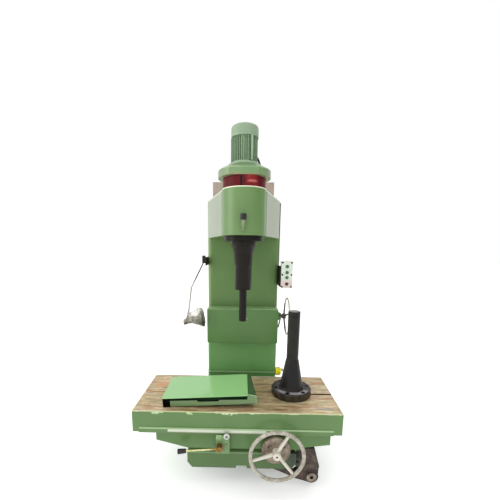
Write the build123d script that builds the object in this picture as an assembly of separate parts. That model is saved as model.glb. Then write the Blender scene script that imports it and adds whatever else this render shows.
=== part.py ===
# Single-column vertical cylinder boring machine, millimetres.
# X right, Y to the back, Z up. Origin on the floor under the boring bar axis.
import os
from math import radians, sin, cos, sqrt
from build123d import *

os.makedirs("parts", exist_ok=True)

# ---- driving dimensions -------------------------------------------------
TABLE_TOP = 510.0          # working surface above the floor
TABLE_X = (-626.0, 574.0)  # 1200 long
TABLE_Y = (-340.0, 160.0)  # 500 wide
TABLE_T = 130.0            # table thickness
TSLOT_Y = -103.0           # centre line of the T-slot
TSLOT_NECK = 16.0
TSLOT_HEAD = 28.0
BED_Y = (-310.0, 150.0)
COL_HALF = 266.0           # column half width
GEAR_HALF = 262.5          # half width of the gearbox in front of it
COL_Y = (375.0, 815.0)     # column front and back
COL_TOP = 1760.0
HEAD_Z = (1497.0, 1760.0)
HEAD_BACK = 371.0
HEAD_HALF = 257.0          # half width of the head at its back
NOSE_R = 130.0            # round front of the head
NOSE_Y = -40.0
BAR_R = 24.5               # boring bar radius
RUN = 0.05                 # radial running clearance
WHEEL_C = (201.0, 282.0)   # front handwheel centre, X Z
WHEEL_Y = -400.0
WHEEL_R = 149.0            # centre radius of the rim
RIM_R = 10.8
SIDE_Y, SIDE_Z, SIDE_X = 312.0, 927.0, 332.0
SIDE_R, SIDE_RIM = 135.0, 5.6
LEVER = (-124.0, 303.5)
LEVER_Y = -372.5
SPARE = (316.0, -93.0)    # boring bar standing on the table
LAMP_Y = 260.0
LAMP_P0 = (-279.0, 1333.0)
LAMP_P1 = (-376.0, 1138.0)
LAMP_P2 = (-401.0, 948.0)


# ---- helpers -------------------------------------------------------------
def block(x0, x1, y0, y1, z0, z1):
    return Pos((x0 + x1) / 2, (y0 + y1) / 2, (z0 + z1) / 2) * Box(x1 - x0, y1 - y0, z1 - z0)


def rod_z(x, y, z0, z1, r):
    return Pos(x, y, (z0 + z1) / 2) * Cylinder(r, z1 - z0)


def rod_y(x, z, y0, y1, r):
    return Pos(x, (y0 + y1) / 2, z) * Rot(90, 0, 0) * Cylinder(r, y1 - y0)


def rod_x(y, z, x0, x1, r):
    return Pos((x0 + x1) / 2, y, z) * Rot(0, 90, 0) * Cylinder(r, x1 - x0)


def rod(p0, p1, r, r1=None):
    a, b = Vector(*p0), Vector(*p1)
    d = b - a
    body = Cylinder(r, d.length, align=(Align.CENTER, Align.CENTER, Align.MIN)) if r1 is None else \
        Cone(r, r1, d.length, align=(Align.CENTER, Align.CENTER, Align.MIN))
    return Plane(origin=a, z_dir=d) * body


def prism_xz(pts, y0, y1):
    pl = Plane(origin=(0, y1, 0), x_dir=(1, 0, 0), z_dir=(0, -1, 0))
    return extrude(pl * make_face(Polyline(*pts, close=True)), amount=y1 - y0)


def prism_xy(pts, z0, z1):
    return extrude(Pos(0, 0, z0) * make_face(Polyline(*pts, close=True)), amount=z1 - z0)


def prism_yz(pts, x0, x1):
    pl = Plane(origin=(x0, 0, 0), x_dir=(0, 1, 0), z_dir=(1, 0, 0))
    return extrude(pl * make_face(Polyline(*pts, close=True)), amount=x1 - x0)


def turned(x, y, profile):
    pts = [(0, profile[0][1])] + list(profile) + [(0, profile[-1][1])]
    face = Plane.XZ * make_face(Polyline(*pts, close=True))
    return Pos(x, y, 0) * revolve(face, Axis.Z)


def out(name, shape):
    export_step(shape, "parts/%s.step" % name)


def rounded(solid, r):
    return fillet(solid.edges().filter_by(Axis.Z), r)


# ---- base ----------------------------------------------------------------
foot_flange = block(-300, 300, -125, 840, 0, 30)
plinth = block(-250, 250, -85, 800, 30, 133)
base = rounded(foot_flange, 25) + rounded(plinth, 30)
for x in (-275, 275):
    for y in (-100, 815):
        base -= rod_z(x, y, -5, 40, 11)
out("base_plinth", base)

# lower block with chamfered lower corners and a small notch in its front edge
apron = prism_xz([(-320, 236), (-320, 167), (-293, 133), (-29, 133), (-29, 149), (34, 149), (34, 133),
                  (300, 133), (327, 167), (327, 236)], -310, -270)
apron += prism_xz([(-320, 236), (-320, 167), (-293, 133), (300, 133), (327, 167), (327, 236)], -270, 340)
out("apron", apron)

# bed: tapered wings, a recessed waist under it, and two ways on top
bed = prism_xz([(-500, 356), (-500, 310), (-318, 263), (361, 263), (361, 276), (519, 298), (519, 356)],
               BED_Y[0], BED_Y[1])
bed += block(-300, 305, -284, 340, 236, 264)
bed += block(-262, 262, 150, 341, 236, 340)
for y0, y1 in ((-240, -150), (10, 100)):
    bed += block(-500, 519, y0, y1, 356, 379)
out("bed", bed)

# trip block on the front of the bed
trip = block(-145, -66, -345, -310, 306, 371) + block(-148, -66, -342, -310, 250, 306)
trip += block(-95, -69, -363, -344, 330, 362) + block(-95, -69, -363, -357.5, 330, 390)
out("trip_block", trip)
out("trip_roller", rod_y(-82, 382, -375, -363.1, 16.5))

# round plate behind the front handwheel, bored for the wheel shaft
dial = rod_y(*WHEEL_C, -352, -330, 82) + rod_y(*WHEEL_C, -331, -310, 60)
dial -= rod_y(*WHEEL_C, -353, -322, 14 + RUN)
out("dial_plate", dial)

# drive casing under the right end of the bed, round at its lower end
gx, gz, gr = 424.0, 78.0, 42.0
guard = prism_xz([(196, 132.9), (196, 122), (236, 106), (330, 62), (gx - 18, gz - 37.9), (gx + 38, gz - 14),
                  (466, 155), (436, 262.9), (363, 262.9), (350, 250), (345, 118), (318, 96), (296, 112), (288, 132.9)],
                 -298, -256)
guard += rod_y(gx, gz, -300, -250, gr)
guard += rod_y(gx, gz, -308, -300, 30)
guard += rod_y(gx + 38, gz + 66, -300, -262, 6)
guard += block(363, 436, -298, -256, 262, 262.9)
out("drive_guard", guard)

# ---- column ----------------------------------------------------------------
out("column_foot", rounded(block(-268, 268, 341, 820, 133, 470), 20))
col = rounded(block(-COL_HALF, COL_HALF, COL_Y[0], COL_Y[1], 727, COL_TOP), 34)
col += rounded(block(-COL_HALF, COL_HALF, 346, COL_Y[1], 470, 727), 16)
out("column", col)
gear = block(-GEAR_HALF, GEAR_HALF, 265, 374.9, 727.1, 985)
gear = chamfer(gear.edges().filter_by(Axis.X).group_by(Axis.Z)[-1].sort_by(Axis.Y)[0], 6)
out("feed_gearbox", gear)
posts = block(-225, -152, 377, 470, COL_TOP, 1891) + block(156, 215, 377, 470, COL_TOP, 1891)
out("way_posts", posts)
boss = rod((GEAR_HALF, SIDE_Y, SIDE_Z), (290, SIDE_Y, SIDE_Z), 36, 19)
boss += rod((285, 302, 920), (268.5, 296, 843), 5)
boss -= rod_x(SIDE_Y, SIDE_Z, 268, 291, 13 + RUN)
out("side_boss", boss)
plug = rod_x(361, 467, 268.1, 309, 20)
for i in range(5):
    plug += rod_x(361, 467, 269.5 + i * 8.2, 274.5 + i * 8.2, 32 - i * 1.2)
out("side_plug", plug)

# push-button station on a strap from the column's right side
strap = block(COL_HALF + 0.6, 268.5, 240, 460, 1152, 1302) + block(COL_HALF, COL_HALF + 1.5, 420, 460, 1152, 1302)
strap += rod((269.3, 416, 1296), (269.3, 416, 1740), 3)
strap += block(COL_HALF, 272.4, 411, 421, 1736, 1752)
out("station_bracket", strap)
station = block(268.6, 349, 232, 288, 1150, 1336)
station = fillet(station.edges().filter_by(Axis.Y), 8)
for z in (1301, 1259, 1224, 1179):
    station -= rod_y(309, z, 231, 246, 11.2)
out("station_box", station)
for i, z in enumerate((1301, 1259, 1224, 1179)):
    out("button_%d" % (i + 1), rod_y(309, z, 220, 240, 11.0))

# lamp bracket on the column's left side
bracket = block(-268.5, -COL_HALF - 1, 246, 460, 1300, 1360) + block(-COL_HALF - 2, -COL_HALF, 420, 460, 1300, 1360)
bracket += rod_y(LAMP_P0[0], LAMP_P0[1], 251, 256, 12)
bracket += block(-291, -268, 247, 256, 1318, 1371)
out("lamp_bracket", bracket)

# ---- table and what stands on it ---------------------------------------------
z1 = TABLE_TOP
z0 = TABLE_TOP - TABLE_T
table = block(*TABLE_X, *TABLE_Y, z0, z1)
table = chamfer(table.edges().group_by(Axis.Z)[-1], 2)
table += block(-587, 524, -348, -339, z0, 409)
table -= block(TABLE_X[0] - 1, TABLE_X[1] + 1, TSLOT_Y - TSLOT_NECK / 2, TSLOT_Y + TSLOT_NECK / 2, z1 - 20, z1 + 1)
table -= block(TABLE_X[0] - 1, TABLE_X[1] + 1, TSLOT_Y - TSLOT_HEAD / 2, TSLOT_Y + TSLOT_HEAD / 2, z1 - 32, z1 - 18)
out("table", table)
rail = block(-420, 142, -352, -348, 389, 408)
out("dog_rail", rail)

# spare boring bar: flange, cone and shaft
sx, sy = SPARE
spare = turned(sx, sy, [(119, z1), (124, z1 + 5), (124, z1 + 40), (120, z1 + 45), (76, z1 + 45), (72, z1 + 55),
                        (41, z1 + 222), (36.8, z1 + 238), (36.8, z1 + 536), (34, z1 + 539)])
for i in range(6):
    a = radians(8 + 60 * i)
    spare -= rod_z(sx + 99 * cos(a), sy + 99 * sin(a), z1 + 12, z1 + 60, 8.5)
out("spare_bar", spare)

# sheet-metal cover on its channel frame; the right end is propped up
TILT = 3.24
COVER = Plane(origin=(-456, -296, TABLE_TOP), x_dir=(cos(radians(TILT)), 0, sin(radians(TILT))),
              z_dir=(-sin(radians(TILT)), 0, cos(radians(TILT))))
cover = block(0, 495, -15, 282, 60, 63)
f0 = make_face(Plane.XZ * Polyline((495, 63), (495, 60), (540, 49.5), (540, 4), (543, 4), (543, 53), close=True))
f1 = make_face(Plane.XZ * Polyline((495, 63), (495, 60), (516, 54), (516, 4), (519, 4), (519, 58), close=True))
cover += loft([Pos(0, 0, 0) * f0, Pos(0, 282, 0) * f1])
out("cover_plate", COVER * cover)
chan = prism_xz([(43, 2.6), (539.5, 5), (539.5, 49.4), (496, 59.3), (490, 30), (330, 34), (325, 26), (205, 26), (200, 36),
                 (43, 38)], 0, 3)
chan += block(43, 480, 0, 12, 2.6, 5.6)
for x in (60, 484):
    chan += block(x, x + 6, 3, 250, 4, 59.9)
chan += block(60, 490, 247, 250, 4, 59.9)
prop = COVER * block(430, 500, 70, 170, -40, 4.2)
prop &= block(-60, 80, -240, -60, TABLE_TOP + 0.1, TABLE_TOP + 60)
out("cover_channel", COVER * chan + prop)
end = COVER * (block(0, 42.9, -4, 26, 2.6, 6) + block(0, 4, -4, 26, 2.6, 59.9) + block(0, 42.9, 22, 26, 2.6, 59.9))
out("cover_end", end)

# ---- head --------------------------------------------------------------------
nose = ThreePointArc((-NOSE_R, NOSE_Y), (0, NOSE_Y - NOSE_R), (NOSE_R, NOSE_Y))
sides = Polyline((NOSE_R, NOSE_Y), (HEAD_HALF, HEAD_BACK), (-HEAD_HALF, HEAD_BACK), (-NOSE_R, NOSE_Y))
head = extrude(Pos(0, 0, HEAD_Z[0]) * make_face(nose + sides), amount=HEAD_Z[1] - HEAD_Z[0])
out("head_housing", head)
dx, dy = HEAD_HALF - NOSE_R, HEAD_BACK - NOSE_Y
n = sqrt(dx * dx + dy * dy)
ux, uy = dx / n, dy / n
panels = None
for s in (1, -1):
    q = [(NOSE_R + uy * 0.1 + ux * 4, NOSE_Y - ux * 0.1 + uy * 4), (NOSE_R + uy * 4 + ux * 8, NOSE_Y - ux * 4 + uy * 8),
         (HEAD_HALF + uy * 4, HEAD_BACK - ux * 4), (HEAD_HALF + uy * 0.1, HEAD_BACK - ux * 0.1)]
    piece = prism_xy([(s * x, y) for x, y in q], HEAD_Z[0], HEAD_Z[1] - 2)
    panels = piece if panels is None else panels + piece
out("head_side_panels", panels)
drum = rod_z(0, 0, 1760.1, 1827, 128) - block(-22, -14, -134, -116, 1766, 1822)
out("belt_drum", drum)
hood = turned(0, 0, [(156, 1827.1), (156, 1866), (151, 1871), (100, 1897)])
out("head_hood", hood - block(-160, 160, -170, -132, 1820, 1900))
out("motor_flange", turned(0, 0, [(97, 1897.1), (97, 1902), (86, 1906)]))
motor = rod_z(0, 0, 1906.1, 2052, 76) + block(-42, 42, 60, 112, 1958, 2040)
out("motor_body", motor)
out("fan_cowl", turned(0, 0, [(80, 2052.1), (80, 2100), (76, 2109), (62, 2117), (30, 2121)]))
route = [(42.1, 92, 1985), (54, 92, 1985), (67, 85, 1976), (79, 74, 1959), (89, 58, 1934), (95, 50, 1912), (97, 48, 1899)]
cable = Sphere(5).moved(Pos(*route[1]))
for p in route[2:-1]:
    cable += Sphere(5).moved(Pos(*p))
for p, q in zip(route, route[1:]):
    cable += rod(p, q, 5)
out("motor_cable", cable)
sleeve = turned(0, 0, [(49, 1167), (52, 1170), (52, 1318), (54, 1322), (59, 1393), (70, 1431), (79, 1444), (79, 1467),
                       (117, 1467), (119, 1469), (119, 1496.9)])
sleeve -= rod_z(0, 0, 1160, 1232, BAR_R + RUN)
out("spindle_sleeve", sleeve)
out("boring_bar", rod_z(0, 0, 964, 1229, BAR_R) + rod_z(0, 0, 962, 964, BAR_R - 2))
shift = rod_y(-3, 1524, -197, -170.6, 9) + rod((-3, -193, 1524), (-3, -193, 1534), 5)
shift += rod((-3, -193, 1532), (-3, -193, 1576), 5.5, 13)
out("shift_lever", shift)
out("shift_knob", rod_z(-3, -193, 1576.1, 1611, 17))


# ---- handwheels -----------------------------------------------------------------
def handwheel(centre_r, rim_r, hub_r, hub0, hub1, shaft_r, shaft_z, angles, root, ra, rb):
    # wheel about +Z: rim in the plane z = 0, hub between hub0 and hub1, shaft down to shaft_z
    w = Torus(centre_r, rim_r)
    w += rod_z(0, 0, hub0, hub1, hub_r)
    w += rod_z(0, 0, shaft_z, hub0 + 1, shaft_r)
    w -= rod_z(0, 0, hub1 - 8, hub1 + 1, hub_r * 0.3)
    for a in angles:
        c, d = cos(radians(a)), sin(radians(a))
        w += rod((c * (hub_r - 8), d * (hub_r - 8), root), (c * (centre_r - 1), d * (centre_r - 1), -1), ra, rb)
    return w


front = handwheel(WHEEL_R, RIM_R, 23, -46, 4, 14, WHEEL_Y + 324, (65, 192, -49), -24, 10.5, 8.5)
out("front_handwheel", Plane(origin=(WHEEL_C[0], WHEEL_Y, WHEEL_C[1]), x_dir=(1, 0, 0), z_dir=(0, -1, 0)) * front)
side = handwheel(SIDE_R, SIDE_RIM, 19, -35, -9, 13, 270 - SIDE_X, (160, 280, 40), -21, 6.5, 5)
out("side_handwheel", Plane(origin=(SIDE_X, SIDE_Y, SIDE_Z), x_dir=(0, 1, 0), z_dir=(1, 0, 0)) * side)

# ---- clamp lever on the trip block --------------------------------------------------
lx, lz = LEVER
lever = rod_y(lx, lz, -381.5, -345.6, 16) + rod((lx, LEVER_Y, lz), (-313, LEVER_Y, 287.5), 5)
out("clamp_lever", lever)
out("lever_grip", rod((-314.2, LEVER_Y, 287.4), (-359, LEVER_Y, 281.3), 12.5, 15))

# ---- work lamp ------------------------------------------------------------------------
y = LAMP_Y
p0, p1, p2 = [(p[0], y, p[1]) for p in (LAMP_P0, LAMP_P1, LAMP_P2)]
arm = rod_y(*LAMP_P0, 256.2, 265.6, 10) + rod((p0[0], 261, p0[2]), (p1[0], 261, p1[2]), 4.2) \
    + rod_y(*LAMP_P1, 256.2, 265.6, 12)
out("lamp_arm_lower", arm)
arm = rod_y(*LAMP_P1, 265.8, 275, 12) + rod((p1[0], 270.4, p1[2]), (p2[0], 270.4, p2[2]), 4.4) \
    + rod_y(*LAMP_P2, 265.8, 275, 10)
out("lamp_arm_upper", arm)
ax = Vector(0.981, 0, 0.195)
s0 = Vector(-427, y, 883)
head_pl = Plane(origin=s0 - ax * 8, z_dir=ax)
shade = head_pl * turned(0, 0, [(17, 0), (20, 4), (20, 34), (27, 39), (45, 58), (57, 84), (65, 116), (69, 144), (67, 144),
                                (63, 117), (55, 86), (43.2, 61), (25, 42)])
shade += rod_y(*LAMP_P2, 256, 265.4, 10) + rod((p2[0], 260, p2[2]), (s0.X, 260, s0.Z), 5)
out("lamp_shade", shade)
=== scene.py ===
import bpy, bmesh, math, random
from mathutils import Matrix, Vector, noise


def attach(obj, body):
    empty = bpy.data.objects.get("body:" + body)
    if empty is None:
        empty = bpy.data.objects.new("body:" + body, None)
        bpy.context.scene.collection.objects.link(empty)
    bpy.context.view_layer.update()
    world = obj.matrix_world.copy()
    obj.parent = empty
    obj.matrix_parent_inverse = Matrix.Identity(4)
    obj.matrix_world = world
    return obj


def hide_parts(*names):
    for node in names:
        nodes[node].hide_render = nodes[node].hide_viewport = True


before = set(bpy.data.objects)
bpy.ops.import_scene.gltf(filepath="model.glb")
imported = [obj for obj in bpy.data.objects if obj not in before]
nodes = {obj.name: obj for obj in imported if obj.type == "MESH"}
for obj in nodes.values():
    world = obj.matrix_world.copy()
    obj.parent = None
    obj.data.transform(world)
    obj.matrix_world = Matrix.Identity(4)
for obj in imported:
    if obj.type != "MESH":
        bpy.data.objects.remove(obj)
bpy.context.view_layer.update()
random.seed(7)


# ---------------------------------------------------------------- materials
def lin(r, g, b):
    return tuple((c / 12.92 if c <= 0.04045 else ((c + 0.055) / 1.055) ** 2.4) for c in (r / 255, g / 255, b / 255)) + (1.0,)


class Mat:
    """A node material, built step by step."""

    def __init__(self, name, rough=0.5, metallic=0.0, coat=0.0, spec=0.5):
        self.m = bpy.data.materials.new(name)
        self.m.use_nodes = True
        self.t = self.m.node_tree
        self.p = self.t.nodes["Principled BSDF"]
        self.p.inputs["Roughness"].default_value = rough
        self.p.inputs["Metallic"].default_value = metallic
        self.p.inputs["Coat Weight"].default_value = coat
        self.p.inputs["Specular IOR Level"].default_value = spec
        self.p.inputs["Coat Roughness"].default_value = 0.25
        self.co = self.t.nodes.new("ShaderNodeTexCoord").outputs["Object"]
        self.sep = None

    def node(self, kind, **props):
        n = self.t.nodes.new(kind)
        for k, v in props.items():
            setattr(n, k, v)
        return n

    def link(self, a, b):
        self.t.links.new(a, b)

    def scaled(self, s):
        n = self.node("ShaderNodeMapping")
        n.inputs["Scale"].default_value = s
        self.link(self.co, n.inputs["Vector"])
        return n.outputs["Vector"]

    def shifted(self, s, off):
        n = self.node("ShaderNodeMapping")
        n.inputs["Scale"].default_value = s
        n.inputs["Location"].default_value = off
        self.link(self.co, n.inputs["Vector"])
        return n.outputs["Vector"]

    def noise(self, scale, detail=3.0, rough=0.5, vec=None, dist=0.0):
        n = self.node("ShaderNodeTexNoise")
        n.inputs["Scale"].default_value = scale
        n.inputs["Detail"].default_value = detail
        n.inputs["Roughness"].default_value = rough
        n.inputs["Distortion"].default_value = dist
        self.link(vec or self.co, n.inputs["Vector"])
        return n.outputs["Fac"]

    def ramp(self, fac, stops, interp="LINEAR"):
        n = self.node("ShaderNodeValToRGB")
        n.color_ramp.interpolation = interp
        els = n.color_ramp.elements
        while len(els) > 1:
            els.remove(els[-1])
        els[0].position = stops[0][0]
        els[0].color = stops[0][1]
        for pos, col in stops[1:]:
            e = els.new(pos)
            e.color = col
        self.link(fac, n.inputs["Fac"])
        return n.outputs["Color"]

    def mask(self, fac, lo, hi):
        n = self.node("ShaderNodeMapRange", clamp=True)
        n.inputs["From Min"].default_value = lo
        n.inputs["From Max"].default_value = hi
        self.link(fac, n.inputs["Value"])
        return n.outputs["Result"]

    def math(self, op, a, b=None):
        n = self.node("ShaderNodeMath", operation=op)
        for i, v in enumerate((a, b)):
            if v is None:
                continue
            if isinstance(v, (int, float)):
                n.inputs[i].default_value = v
            else:
                self.link(v, n.inputs[i])
        return n.outputs["Value"]

    def mix(self, fac, a, b):
        n = self.node("ShaderNodeMix", data_type="RGBA")
        if isinstance(fac, (int, float)):
            n.inputs["Factor"].default_value = fac
        else:
            self.link(fac, n.inputs["Factor"])
        for i, v in ((6, a), (7, b)):
            if isinstance(v, tuple):
                n.inputs[i].default_value = v
            else:
                self.link(v, n.inputs[i])
        return n.outputs[2]

    def xyz(self):
        if self.sep is None:
            self.sep = self.node("ShaderNodeSeparateXYZ")
            self.link(self.co, self.sep.inputs["Vector"])
        return self.sep.outputs["X"], self.sep.outputs["Y"], self.sep.outputs["Z"]

    def color(self, c):
        if isinstance(c, tuple):
            self.p.inputs["Base Color"].default_value = c
        else:
            self.link(c, self.p.inputs["Base Color"])
        return self

    def rough(self, r):
        self.link(r, self.p.inputs["Roughness"])
        return self

    def bump(self, h, strength, dist=0.001):
        n = self.node("ShaderNodeBump")
        n.inputs["Strength"].default_value = strength
        n.inputs["Distance"].default_value = dist
        self.link(h, n.inputs["Height"])
        self.link(n.outputs["Normal"], self.p.inputs["Normal"])
        return self


def paint(name, rgb, rough=0.42, spread=0.10, scale=3.0, coat=0.15, grime=0.12, bump=0.08):
    m = Mat(name, rough, 0.0, coat)
    a = lin(*[min(255, c * (1 + spread)) for c in rgb])
    b = lin(*[c * (1 - spread) for c in rgb])
    n = m.noise(scale, 4, 0.55)
    c = m.ramp(n, [(0.3, b), (0.7, a)])
    if grime:
        g = m.mask(m.noise(11, 6, 0.7), 0.56, 0.78)
        c = m.mix(m.math("MULTIPLY", g, grime), c, lin(rgb[0] * 0.6 + 20, rgb[1] * 0.55 + 15, rgb[2] * 0.55 + 10))
    m.color(c)
    m.bump(m.noise(260, 2, 0.5), bump, 0.0006)
    return m.m


def plain(name, rgb, rough=0.5, metallic=0.0, spread=0.08, scale=20.0, bump=0.0, coat=0.0, spec=0.5):
    m = Mat(name, rough, metallic, coat, spec)
    a = lin(*[min(255, c * (1 + spread)) for c in rgb])
    b = lin(*[c * (1 - spread) for c in rgb])
    m.color(m.ramp(m.noise(scale, 4, 0.6), [(0.3, b), (0.7, a)]))
    if bump:
        m.bump(m.noise(180, 4, 0.6), bump, 0.0008)
    return m.m


def banded(name, rgb, painted_light_bands=(), rough=0.40, spread=0.05, scale=2.6, coat=0.25, grime=0.10, bump=0.06, extra=None, spec=0.5):
    """Enamel with painted highlight lines and painted shade lines at given levels: (z0, z1, colour, strength)."""
    m = Mat(name, rough, 0.0, coat, spec)
    a = lin(*[min(255, c * (1 + spread)) for c in rgb])
    b = lin(*[c * (1 - spread) for c in rgb])
    c = m.ramp(m.noise(scale, 4, 0.55), [(0.3, b), (0.7, a)])
    # faint upright brush and run marks
    v = m.noise(1.0, 4, 0.6, m.scaled((34, 34, 2.2)))
    c = m.mix(m.math("MULTIPLY", m.mask(v, 0.54, 0.74), 0.16), c, lin(rgb[0] * 1.16, rgb[1] * 1.14, rgb[2] * 1.14))
    if grime:
        g = m.mask(m.noise(11, 6, 0.7), 0.56, 0.78)
        c = m.mix(m.math("MULTIPLY", g, grime), c, lin(rgb[0] * 0.6 + 20, rgb[1] * 0.55 + 15, rgb[2] * 0.55 + 10))
    x, y, z = m.xyz()
    # painted highlight lines and painted shade lines at the given levels
    if painted_light_bands:
        wob = m.math("ADD", z, m.math("MULTIPLY", m.math("SUBTRACT", m.noise(24, 4, 0.6), 0.5), 0.003))
        for z0, z1, col, k in painted_light_bands:
            lo = m.mask(wob, z0 - 0.0012, z0 + 0.0012)
            hi = m.mask(wob, z1 - 0.0012, z1 + 0.0012)
            c = m.mix(m.math("MULTIPLY", m.math("SUBTRACT", lo, hi), k), c, lin(*col))
    if extra:
        c = extra(m, c, x, y, z)
    m.color(c)
    m.bump(m.noise(260, 2, 0.5), bump, 0.0006)
    return m.m


def column_extra(m, c, x, y, z):
    # painted light: the lower front is painted lighter to offset its shade, the left corner has a painted highlight,
    # the right corner and the foot painted shade
    front = m.math("SUBTRACT", 1.0, m.mask(y, 0.385, 0.46))
    low = m.math("MULTIPLY", front, m.math("SUBTRACT", 1.0, m.mask(z, 0.80, 0.86)))
    c = m.mix(low, c, m.ramp(m.noise(2.6, 4, 0.55, m.scaled((1, 1, 2.2))), [(0.3, lin(96, 150, 80)), (0.5, lin(112, 164, 96)), (0.7, lin(118, 162, 102))]))
    # painted highlight on the rounded left corner
    left = m.mask(m.math("MULTIPLY", x, -1.0), 0.240, 0.259)
    left = m.math("MULTIPLY", left, m.mask(z, 0.86, 0.95))
    c = m.mix(m.math("MULTIPLY", left, 0.6), c, lin(146, 164, 112))
    # painted shade on the right corner
    right = m.mask(x, 0.254, 0.265)
    c = m.mix(m.math("MULTIPLY", right, 0.2), c, lin(70, 94, 60))
    # painted shade at the foot of the column
    foot = m.math("SUBTRACT", 1.0, m.mask(z, 0.470, 0.484))
    return m.mix(m.math("MULTIPLY", foot, 0.6), c, lin(60, 96, 50))


def block_extra(m, c, x, y, z):
    # scuffed pale corner at the upper left and an oily rust stain round the lever hub
    sc = m.math("MULTIPLY", m.mask(m.math("MULTIPLY", x, -1.0), 0.098, 0.108), m.mask(z, 0.338, 0.352))
    sc = m.math("MULTIPLY", sc, m.mask(m.noise(60, 5, 0.65), 0.38, 0.56))
    c = m.mix(m.math("MULTIPLY", sc, 0.8), c, lin(168, 204, 142))
    dx = m.math("ADD", x, 0.120)
    dz = m.math("ADD", z, -0.296)
    d = m.math("SQRT", m.math("ADD", m.math("MULTIPLY", dx, dx), m.math("MULTIPLY", dz, dz)))
    d = m.math("ADD", d, m.math("MULTIPLY", m.noise(50, 5, 0.7), 0.016))
    st = m.math("SUBTRACT", 1.0, m.mask(d, 0.026, 0.046))
    return m.mix(m.math("MULTIPLY", st, 0.8), c, m.ramp(m.noise(70, 4, 0.6), [(0.35, lin(52, 66, 30)), (0.62, lin(118, 96, 44))]))


def rail_extra(m, c, x, y, z):
    low = m.math("SUBTRACT", 1.0, m.mask(z, 0.390, 0.394))
    return m.mix(m.math("MULTIPLY", low, 0.8), c, lin(128, 112, 92))


def apron_extra(m, c, x, y, z):
    # painted shade on the right end of the apron beside the casing
    return m.mix(m.math("MULTIPLY", m.mask(x, 0.235, 0.300), 0.86), c, lin(21, 37, 18))


def drum_extra(m, c, x, y, z):
    # painted sheen: brighter red patches and a pink painted highlight on the right part, and painted shade in brown
    # round the gap
    k = m.math("MULTIPLY", m.mask(x, 0.000, 0.030), m.math("SUBTRACT", 1.0, m.mask(x, 0.055, 0.085)))
    k = m.math("MULTIPLY", k, m.mask(m.noise(26, 4, 0.6, m.scaled((0.6, 0.6, 2.0))), 0.36, 0.56))
    c = m.mix(k, c, lin(162, 50, 52))
    # pink painted highlight on the right part
    g = m.math("MULTIPLY", m.mask(x, 0.010, 0.034), m.math("SUBTRACT", 1.0, m.mask(x, 0.060, 0.078)))
    g = m.math("MULTIPLY", g, m.math("MULTIPLY", m.mask(z, 1.786, 1.792), m.math("SUBTRACT", 1.0, m.mask(z, 1.798, 1.804))))
    c = m.mix(m.math("MULTIPLY", g, 0.55), c, lin(214, 132, 128))
    # painted shade in brown round the gap
    b = m.math("MULTIPLY", m.mask(x, -0.024, -0.018), m.math("SUBTRACT", 1.0, m.mask(x, -0.006, 0.002)))
    return m.mix(m.math("MULTIPLY", b, 0.8), c, lin(60, 40, 40))


def hood_extra(m, c, x, y, z):
    # painted shading of the facets: greener in the middle, greyer past the facet edges; a painted shade line at the
    # right facet edge and painted shade on the top cone; a brown lower rim
    mid = m.math("MULTIPLY", m.mask(x, -0.035, -0.015), m.math("SUBTRACT", 1.0, m.mask(x, 0.070, 0.082)))
    c = m.mix(m.math("MULTIPLY", mid, 0.5), c, lin(98, 142, 88))
    side = m.math("MAXIMUM", m.mask(x, 0.110, 0.145), m.mask(m.math("MULTIPLY", x, -1.0), 0.110, 0.145))
    c = m.mix(m.math("MULTIPLY", side, 0.6), c, lin(128, 138, 116))
    # painted shade line at the right facet edge
    line = m.math("MULTIPLY", m.mask(x, 0.0795, 0.0815), m.math("SUBTRACT", 1.0, m.mask(x, 0.0850, 0.0880)))
    c = m.mix(m.math("MULTIPLY", line, 0.45), c, lin(70, 92, 58))
    # painted shade on the top cone
    cone = m.mask(z, 1.8725, 1.8760)
    c = m.mix(m.math("MULTIPLY", cone, 0.7), c, lin(98, 124, 82))
    low = m.math("SUBTRACT", 1.0, m.mask(z, 1.8330, 1.8380))
    low = m.math("MULTIPLY", low, m.mask(m.math("MULTIPLY", y, -1.0), 0.124, 0.130))
    return m.mix(m.math("MULTIPLY", low, 0.6), c, lin(146, 128, 96))


def station_extra(m, c, x, y, z):
    return m.mix(m.math("SUBTRACT", 1.0, m.mask(z, 1.185, 1.225)), c, lin(218, 200, 194))


column_m = banded("paint_column", (93, 125, 68), extra=column_extra, spread=0.035, coat=0.05, rough=0.46, spec=0.38)
# the pale strip at the gearbox's top front edge is a painted highlight
gear_m = banded("paint_gearbox", (77, 119, 53), painted_light_bands=((0.9815, 0.990, (150, 184, 132), 0.75),), spread=0.035)
# on the foot: a dark painted shade line under a pale painted highlight on the ledge
foot_m = banded("paint_foot", (89, 136, 73), painted_light_bands=((0.452, 0.458, (70, 98, 58), 0.8), (0.458, 0.472, (150, 184, 134), 0.75)), spread=0.04)
# the cream strip along the top edge of the nose is a painted highlight
head_m = banded("paint_head", (95, 129, 71), painted_light_bands=((1.7545, 1.762, (230, 232, 204), 0.95),), spread=0.04)
# the pale strip along the top edge of the side panels is a painted highlight
panel_m = banded("paint_panels", (140, 152, 127), painted_light_bands=((1.751, 1.760, (206, 212, 190), 0.8),), spread=0.035, grime=0.06)
# the pale strip at the hood's upper edge is a painted highlight
hood_m = banded("paint_hood", (112, 138, 95), painted_light_bands=((1.8645, 1.8700, (164, 188, 146), 0.6),), spread=0.05, extra=hood_extra)
bed_m = banded("paint_bed", (79, 116, 54), spread=0.04, grime=0.16)
# on the apron: a painted highlight along the top edge and a painted shade line along the bottom edge
apron_m = banded("paint_apron", (69, 101, 46), painted_light_bands=((0.2315, 0.238, (150, 180, 130), 0.7), (0.130, 0.1375, (58, 66, 50), 0.8)), spread=0.05, grime=0.2, extra=apron_extra)
block_m = banded("paint_block", (102, 137, 82), spread=0.05, grime=0.2, extra=block_extra)
chan_m = banded("paint_channel", (99, 128, 78), spread=0.05, grime=0.25)
green_dark = paint("paint_green_dark", (78, 112, 64), rough=0.5)
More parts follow.
